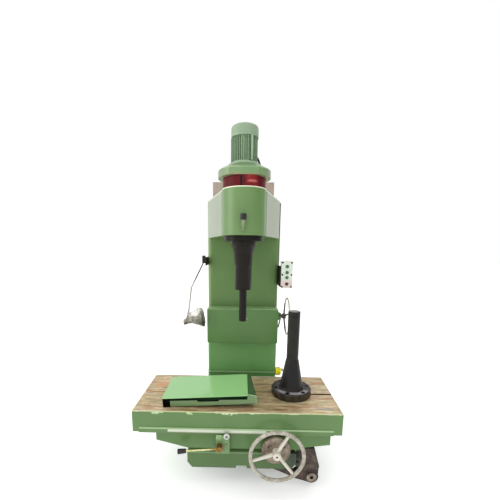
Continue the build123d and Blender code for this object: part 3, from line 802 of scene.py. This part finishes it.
# bell flange of the motor with its bolts
bm = bmesh.new()
turn(bm, [(0.0, 1.8975), (0.0965, 1.8975), (0.0970, 1.8990), (0.0970, 1.9020), (0.0955, 1.9032), (0.0880, 1.9050), (0.0820, 1.9090), (0.0780, 1.9130), (0.0760, 1.9155), (0, 1.9155)], seg=96)
for k in range(8):
    a = 2 * math.pi * (k + 0.5) / 8
    hexbolt(bm, at(0.0905 * math.cos(a), 0.0905 * math.sin(a), 1.9036), 0.0042, 0.0030, 1)
mesh_object("motor_bell", bm, [green_bell, green_strip], "head", replaces=("motor_flange",))

bm = bmesh.new()
tube(bm, [(0.0425, 0.092, 1.985), (0.056, 0.091, 1.986), (0.069, 0.083, 1.980), (0.080, 0.073, 1.963), (0.089, 0.060, 1.938), (0.095, 0.051, 1.914), (0.097, 0.048, 1.8985)], 0.0062, 16)
mesh_object("motor_cable_sheath", bm, [rubber], "head", replaces=("motor_cable",))

# ---------------------------------------------------------------- head details
bm = bmesh.new()
turn(bm, [(0, 0.0), (0.0125, 0.0), (0.0160, 0.002), (0.0170, 0.006), (0.0170, 0.029), (0.0150, 0.0335), (0.0100, 0.0349), (0, 0.0349)], seg=40, mx=at(-0.003, -0.193, 1.5761))
mesh_object("shift_knob_round", bm, [black_plastic], "shift_lever", replaces=("shift_knob",))

# small cutter in the end of the boring bar
bm = bmesh.new()
box(bm, (0.012, -0.004, 0.972), (0.0285, 0.004, 0.980), bevel=0.0006)
capscrew(bm, at(0, 0, 0.9622) @ Matrix.Rotation(math.pi, 4, "X"), 0.005, 0.0015, 0, 1)
mesh_object("bar_cutter", bm, [bright, dark_gap], "bar")

# ---------------------------------------------------------------- push-button station
bm = bmesh.new()
def bored_cell(bm, x0, x1, z0, z1, cx, cz, r, yf, yb):
    """Front of one plate cell with a round hole for a button."""
    angs = sorted({round(2 * math.pi * k / 32, 6) for k in range(32)} | {round(math.atan2(z - cz, x - cx) % (2 * math.pi), 6) for x in (x0, x1) for z in (z0, z1)})
    inner, outer, deep = [], [], []
    for a in angs:
        c, d = math.cos(a), math.sin(a)
        tx = (x1 - cx) / c if c > 1e-9 else (x0 - cx) / c if c < -1e-9 else 1e9
        tz = (z1 - cz) / d if d > 1e-9 else (z0 - cz) / d if d < -1e-9 else 1e9
        t = min(tx, tz)
        inner.append(bm.verts.new((cx + r * c, yf, cz + r * d)))
        deep.append(bm.verts.new((cx + r * c, yb, cz + r * d)))
        outer.append(bm.verts.new((cx + t * c, yf, cz + t * d)))
    for i in range(len(angs)):
        j = (i + 1) % len(angs)
        bm.faces.new((inner[i], outer[i], outer[j], inner[j]))
        bm.faces.new((inner[i], inner[j], deep[j], deep[i]))


px0, px1, pz0, pz1, pyf, pyb = 0.2715, 0.3465, 1.152, 1.334, 0.2278, 0.2318
for z0, z1, cz in ((1.152, 1.2015, 1.179), (1.2015, 1.2415, 1.224), (1.2415, 1.280, 1.259), (1.280, 1.334, 1.301)):
    bored_cell(bm, px0, px1, z0, z1, 0.309, cz, 0.0115, pyf, pyb)
for quad in (((px0, pyb, pz0), (px0, pyf, pz0), (px0, pyf, pz1), (px0, pyb, pz1)),
             ((px1, pyf, pz0), (px1, pyb, pz0), (px1, pyb, pz1), (px1, pyf, pz1)),
             ((px0, pyf, pz1), (px1, pyf, pz1), (px1, pyb, pz1), (px0, pyb, pz1)),
             ((px0, pyb, pz0), (px1, pyb, pz0), (px1, pyf, pz0), (px0, pyf, pz0))):
    bm.faces.new([bm.verts.new(v) for v in quad])
for sx in (0.277, 0.341):
    for sz in (1.158, 1.243, 1.328):
        turn(bm, [(0, 0.0022), (0.0056, 0.0020), (0.0066, 0)], seg=16, mat=1, mx=at(sx, 0.2278, sz) @ AX_Y)
for z in (1.301, 1.259, 1.224, 1.179):
    turn(bm, [(0.0116, 0.0), (0.0116, 0.0040), (0.0130, 0.0040), (0.0136, 0.0030), (0.0136, 0.0)], seg=32, mat=0, mx=at(0.309, 0.2278, z) @ AX_Y)
station = mesh_object("station_front", bm, [banded("station_face", (214, 224, 209), rough=0.4, spread=0.03, coat=0.0, grime=0.05, extra=station_extra), bracket_m, bright], "machine")

# ---------------------------------------------------------------- handwheel and dial
bm = bmesh.new()
turn(bm, [(0, 0.0012), (0.0052, 0.0012), (0.0075, 0.0035), (0.0110, 0.0045), (0.0150, 0.0040), (0.0190, 0.0)], seg=40, mat=0, mx=at(0.201, -0.4035, 0.282) @ AX_Y)
turn(bm, [(0, 0.0016), (0.0050, 0.0016)], seg=24, mat=1, mx=at(0.201, -0.4035, 0.282) @ AX_Y)
mesh_object("wheel_nut", bm, [cream, dark_gap], "front_wheel")

bm = bmesh.new()
for k in range(3):
    a = 2 * math.pi * k / 3 + 0.5
    capscrew(bm, at(0.201 + 0.052 * math.cos(a), -0.352, 0.282 + 0.052 * math.sin(a)) @ AX_Y, 0.006, 0.004, 0, 1)
mesh_object("dial_screws", bm, [dark_iron, dark_gap], "machine")

bm = bmesh.new()
gx, gz = 0.424, 0.078
turn(bm, [(0, 0.0005), (0.011, 0.0005)], seg=24, mat=1, mx=at(gx, -0.3082, gz) @ AX_Y)
turn(bm, [(0.011, 0.0006), (0.0285, 0.0016), (0.0300, 0.0)], seg=40, mat=0, mx=at(gx, -0.3080, gz) @ AX_Y)
mesh_object("guard_boss_face", bm, [rust, dark_gap], "machine")

# dark web, bracket and bolt between the lower block and the casing; the dark web stands in for the shade in that gap
bm = bmesh.new()
box(bm, (0.3272, -0.296, 0.140), (0.3515, -0.285, 0.262), mat=0, bevel=0.002)
box(bm, (0.3300, -0.3005, 0.200), (0.3450, -0.294, 0.240), mat=1, bevel=0.002)
hexbolt(bm, at(0.338, -0.2965, 0.172) @ AX_Y, 0.0065, 0.004, 1)
mesh_object("casing_shade_web", bm, [plain("web_shade_green", (40, 54, 36), rough=0.6, spread=0.4, scale=60), bracket_m], "machine")

# ---------------------------------------------------------------- trip roller and side plug
bm = bmesh.new()
turn(bm, [(0, 0.0045), (0.0035, 0.0045), (0.0040, 0.0020)], seg=32, mat=1, mx=at(-0.082, -0.375, 0.382) @ AX_Y)
turn(bm, [(0.0040, 0.0020), (0.0060, 0.0032), (0.0080, 0.0020)], seg=32, mat=0, mx=at(-0.082, -0.375, 0.382) @ AX_Y)
turn(bm, [(0.0074, 0.0026), (0.0104, 0.0026)], seg=32, mat=1, mx=at(-0.082, -0.375, 0.382) @ AX_Y)
turn(bm, [(0.0095, 0.0012), (0.0115, 0.0030), (0.0145, 0.0026), (0.0165, 0.0)], seg=40, mat=0, mx=at(-0.082, -0.375, 0.382) @ AX_Y)
turn(bm, [(0, 0.001), (0.0055, 0.0008), (0.0055, 0)], seg=20, mat=1, mx=at(-0.084, -0.345, 0.318) @ AX_Y)
mesh_object("trip_roller_face", bm, [plain("roller_white", (226, 230, 222), rough=0.35), dark_gap], "machine")

bm = bmesh.new()
turn(bm, [(0, 0.018), (0.010, 0.018), (0.012, 0.016), (0.012, 0.0)], seg=28, mat=0, mx=at(0.309, 0.361, 0.478) @ AX_X)
turn(bm, [(0, 0.0185), (0.004, 0.0185)], seg=20, mat=1, mx=at(0.309, 0.361, 0.478) @ AX_X)
for k in range(12):
    mx = at(0.0015, 0.361, 0.467) @ Matrix.Rotation(2 * math.pi * (k + 0.3) / 12, 4, "X")
    box(bm, (0.2740, -0.0012, 0.028), (0.2990, 0.0012, 0.0316), mat=2, bevel=0.0004, mx=mx)
mesh_object("plug_stud", bm, [plain("stud_pale", (176, 200, 178), rough=0.4), dark_gap, plain("plug_shade", (160, 130, 30), rough=0.5)], "machine")

# dark sheet inside the sheet cover: painted shade in its hollow
cov = Matrix(((math.cos(math.radians(3.24)), 0, -math.sin(math.radians(3.24)), -0.456), (0, 1, 0, -0.296), (math.sin(math.radians(3.24)), 0, math.cos(math.radians(3.24)), 0.510), (0, 0, 0, 1)))
bm = bmesh.new()
box(bm, (0.0455, 0.0125, 0.0046), (0.488, 0.0135, 0.0585), mx=cov)
mesh_object("cover_shade_sheet", bm, [cover_shade_m], "table")

# ---------------------------------------------------------------- lamp
ax = Vector((0.981, 0, 0.195)).normalized()
s0 = Vector((-0.427, 0.260, 0.883)) - ax * 0.008
q = Vector((0, 0, 1)).rotation_difference(ax).to_matrix().to_4x4()
mx = Matrix.Translation(s0) @ q
bm = bmesh.new()
prof = [(0.0, -0.001), (0.017, 0.0), (0.0205, 0.004), (0.0215, 0.020), (0.0215, 0.034), (0.028, 0.0385)]
bell = [(0.0330, 0.047), (0.0385, 0.058), (0.0440, 0.070), (0.0500, 0.083), (0.0560, 0.096), (0.0620, 0.110), (0.0670, 0.122), (0.0710, 0.134), (0.0720, 0.142)]
prof += bell + [(0.0690, 0.1480), (0.0600, 0.1515), (0.0400, 0.1535), (0.0200, 0.1545), (0.0, 0.1548)]
vs = turn(bm, prof, seg=72, mat=0)
for v in vs:
    r = math.hypot(v.co.x, v.co.y)
    if r > 0.015:
        f = noise.noise(Vector((v.co.x * 46, v.co.y * 46, v.co.z * 34))) * 0.0042 + noise.noise(Vector((v.co.x * 110, v.co.y * 110, v.co.z * 90 + 5))) * 0.0018
        k = 1 + f / r
        v.co.x *= k
        v.co.y *= k
        v.co.z += noise.noise(Vector((v.co.x * 60, v.co.y * 60, 3.3))) * 0.003
# the loose wrap stands up above the shade's axis
for v in vs:
    h = v.co.z
    v.co.x -= 0.023 * min(1.0, max(0.0, (h - 0.018) / 0.045)) - 0.010 * min(1.0, max(0.0, (h - 0.095) / 0.05))
bmesh.ops.transform(bm, matrix=mx, verts=bm.verts)
p2 = Vector((-0.401, 0.260, 0.948))
turn(bm, [(0, -0.0048), (0.010, -0.0048), (0.010, 0.0048), (0, 0.0048)], seg=32, mat=1, mx=at(-0.401, 0.2607, 0.948) @ AX_Y)
tube(bm, [p2, p2.lerp(Vector((-0.427, 0.26, 0.883)), 0.5), Vector((-0.427, 0.26, 0.890))], 0.005, 16, 1)
mesh_object("lamp_shade_wrapped", bm, [film_m, bright], "lamp_head", smooth=50, replaces=("lamp_shade",))
bm = bmesh.new()
turn(bm, [(0, 0.042), (0.012, 0.042), (0.013, 0.058), (0.018, 0.070), (0.0205, 0.082), (0.018, 0.095), (0.011, 0.103), (0, 0.106)], seg=40, mat=0, mx=mx)
bulb = Mat("bulb_glass", 0.12)
bulb.color(lin(244, 242, 232))
mesh_object("lamp_bulb", bm, [bulb.m], "lamp_head")

P0, P1, P2 = Vector((-0.279, 0, 1.333)), Vector((-0.376, 0, 1.138)), Vector((-0.401, 0, 0.948))
for nm, a, b, yy, r, ra, rb, mat, body, old in (("lamp_rod_lower", P0, P1, 0.261, 0.0042, 0.0095, 0.0056, arm_m, "lamp_lower", "lamp_arm_lower"),
                                               ("lamp_rod_upper", P1, P2, 0.2704, 0.0046, 0.0056, 0.0070, arm2_m, "lamp_upper", "lamp_arm_upper")):
    bm = bmesh.new()
    tube(bm, [(a.x, yy, a.z), (b.x, yy, b.z)], r, 16)
    for q0, rr in ((a, ra), (b, rb)):
        turn(bm, [(0, -0.0046), (rr, -0.0046), (rr, 0.0046), (0, 0.0046)], seg=24, mx=at(q0.x, yy, q0.z) @ AX_Y)
    mesh_object(nm, bm, [mat], body, replaces=(old,))

# ---------------------------------------------------------------- floor, light, camera
bm = bmesh.new()
bmesh.ops.create_grid(bm, x_segments=1, y_segments=1, size=30)
me = bpy.data.meshes.new("floor")
bm.to_mesh(me)
bm.free()
floor = bpy.data.objects.new("floor", me)
bpy.context.scene.collection.objects.link(floor)
fm = Mat("floor_pale", 0.9)
fm.color((0.97, 0.97, 0.97, 1))
fm.p.inputs["Emission Color"].default_value = (1, 1, 1, 1)
fm.p.inputs["Emission Strength"].default_value = 0.28
me.materials.append(fm.m)

# white studio, a little dimmer on the right
world = bpy.data.worlds.new("world")
bpy.context.scene.world = world
world.use_nodes = True
wt = world.node_tree
geo = wt.nodes.new("ShaderNodeTexCoord")
sp = wt.nodes.new("ShaderNodeSeparateXYZ")
wt.links.new(geo.outputs["Generated"], sp.inputs["Vector"])
rp = wt.nodes.new("ShaderNodeMapRange")
rp.inputs["From Min"].default_value = 0.66
rp.inputs["From Max"].default_value = 0.86
rp.inputs["To Min"].default_value = 1.0
rp.inputs["To Max"].default_value = 0.35
wt.links.new(sp.outputs["X"], rp.inputs["Value"])
world.node_tree.nodes["Background"].inputs["Color"].default_value = (1.0, 1.0, 1.0, 1)
lp = wt.nodes.new("ShaderNodeLightPath")
mx2 = wt.nodes.new("ShaderNodeMath")
mx2.operation = "MAXIMUM"
wt.links.new(rp.outputs["Result"], mx2.inputs[0])
wt.links.new(lp.outputs["Is Camera Ray"], mx2.inputs[1])
wt.links.new(mx2.outputs["Value"], wt.nodes["Background"].inputs["Strength"])


def area(name, loc, aim, size, power, col=(1, 1, 1)):
    l = bpy.data.lights.new(name, "AREA")
    l.shape = "RECTANGLE"
    l.size, l.size_y = size
    l.energy = power
    l.color = col
    o = bpy.data.objects.new(name, l)
    o.location = loc
    o.rotation_mode = "QUATERNION"
    o.rotation_quaternion = (Vector(aim) - Vector(loc)).to_track_quat("-Z", "Y")
    bpy.context.scene.collection.objects.link(o)


area("key", (-4.0, -1.2, 2.4), (0, 0, 1.3), (2.2, 2.2), 41)
area("top", (-0.4, -0.2, 4.8), (0, 0.0, 0.6), (6.0, 6.0), 57)

C = Vector((-0.00338, -1.8828, 1.4176))
yaw, pitch, roll = 0.0197, 0.1826, 0.0088
f = Vector((-math.sin(yaw) * math.cos(pitch), math.cos(yaw) * math.cos(pitch), -math.sin(pitch)))
right = Vector((math.cos(yaw), math.sin(yaw), 0))
up = right.cross(f)
r2 = math.cos(roll) * right + math.sin(roll) * up
u2 = -math.sin(roll) * right + math.cos(roll) * up
cam = bpy.data.cameras.new("camera")
cam.sensor_width = 36
cam.lens = 36 * 298.03 / 500
cam.shift_x = (250 - 236.49) / 500
cam.shift_y = (304.29 - 250) / 500
cam.clip_start = 0.05
cam.clip_end = 100
co = bpy.data.objects.new("camera", cam)
bpy.context.scene.collection.objects.link(co)
co.matrix_world = Matrix(((r2.x, u2.x, -f.x, C.x), (r2.y, u2.y, -f.y, C.y), (r2.z, u2.z, -f.z, C.z), (0, 0, 0, 1)))
bpy.context.scene.camera = co
bpy.context.scene.view_settings.view_transform = "Standard"
